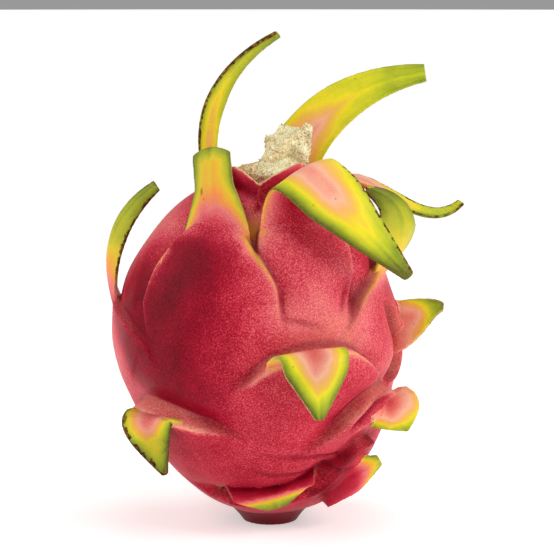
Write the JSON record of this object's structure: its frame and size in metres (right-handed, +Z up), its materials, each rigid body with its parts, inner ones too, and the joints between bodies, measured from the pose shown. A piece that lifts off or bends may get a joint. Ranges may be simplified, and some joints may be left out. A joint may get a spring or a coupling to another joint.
{
  "type": "dragon fruit",
  "caption": "Whole ripe dragon fruit with leafy scales, a dry flower remnant in its crown and a flat cut stem end it stands on.",
  "frame": {"origin": "middle of the flat cut stem end that the fruit stands on", "axes": "+Z up from the stem end to the crown, -Y to the front, +X to the right seen from the front"},
  "size_m": [0.1204, 0.1183, 0.1655],
  "materials": {
    "skin": "satin waxy fruit skin, crimson to pink, with the scales turning peach, yellow and green towards their tips",
    "dry_flower": "dry, fibrous, corky plant tissue, cream to brown"
  },
  "bodies": {
    "root": {"fruit": "skin", "flower_scar": "dry_flower"}
  },
  "joints": []
}
